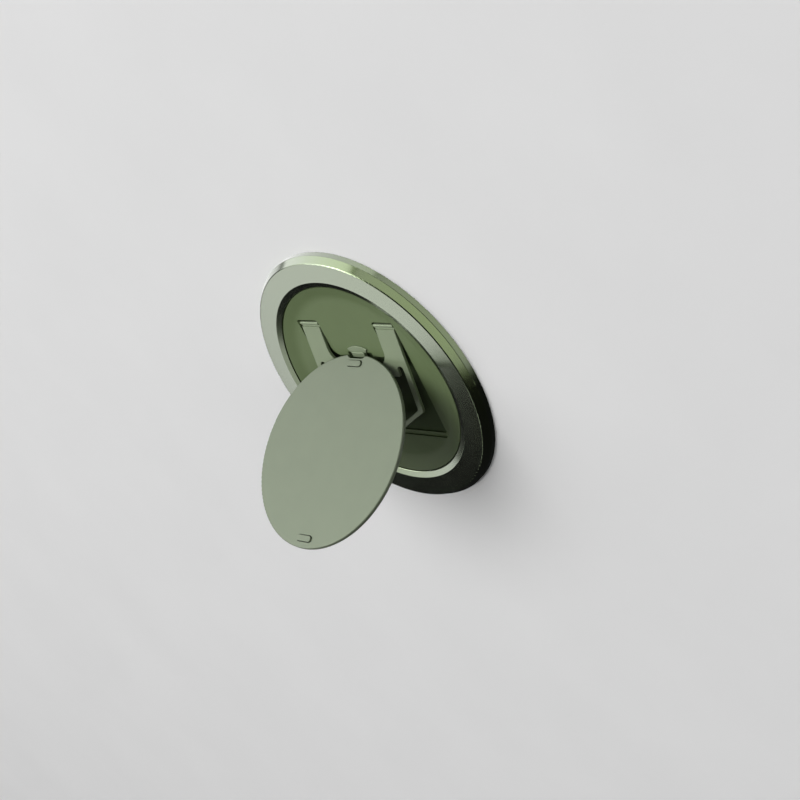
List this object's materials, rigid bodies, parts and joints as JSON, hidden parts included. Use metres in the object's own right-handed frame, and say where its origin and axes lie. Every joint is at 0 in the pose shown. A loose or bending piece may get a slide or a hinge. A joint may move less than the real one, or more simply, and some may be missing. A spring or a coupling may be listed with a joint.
{
  "type": "phone grip",
  "caption": "Round magnetic grip with a bevelled ring base and a thin disk on a folding arm and strut that props up as a stand.",
  "frame": {"origin": "centre of the flat magnetic face on the back of the base, on the surface it rests on", "axes": "+Z out of the back face towards the disk, +Y towards the arm's hinge, +X to the right"},
  "size_m": [0.056, 0.056, 0.0328],
  "materials": {
    "green_anodised": "satin sage green anodised",
    "green_coated": "satin sage green coated steel",
    "green_nub": "matte sage green",
    "silicone": "matte silicone",
    "magnet": "nickel plated magnet",
    "steel": "plain steel",
    "bronze": "bronze friction washer"
  },
  "bodies": {
    "base": {"base_ring": "green_anodised", "well_floor": "green_anodised", "back_plate": "green_coated", "rear_pad": "silicone", "magnet_segments": "magnet", "magnet_yoke": "steel", "arm_pins": "steel", "arm_washers": "bronze", "stand_catch": "green_coated"},
    "arm": {"arm_frame": "green_coated", "knee_pin": "steel", "knee_washers": "bronze"},
    "strut": {"strut_link": "green_coated"},
    "disk": {"grip_disk": "green_anodised", "disk_nubs": "green_nub", "disk_bracket": "green_coated", "bracket_rivets": "steel", "disk_pin": "steel", "disk_washers": "bronze"}
  },
  "joints": [
    {"name": "arm_hinge", "type": "hinge", "parent": "base", "child": "arm", "pos_m": [0, 0.01242, 0.00085], "axis": [1, 0, 0], "range_deg": [0, 7.93]},
    {"name": "knee_hinge", "type": "hinge", "parent": "arm", "child": "strut", "pos_m": [0, -0.00969, 0.00388], "axis": [-1, 0, 0], "range_deg": [0, 74.96]},
    {"name": "disk_hinge", "type": "hinge", "parent": "strut", "child": "disk", "pos_m": [0, -0.00514, 0.01476], "axis": [1, 0, 0], "range_deg": [0, 121.84]}
  ],
  "couplings": [
    {"joint": "arm_hinge", "follows": "disk_hinge", "ratio": 0.065052},
    {"joint": "knee_hinge", "follows": "disk_hinge", "ratio": 0.61528}
  ]
}
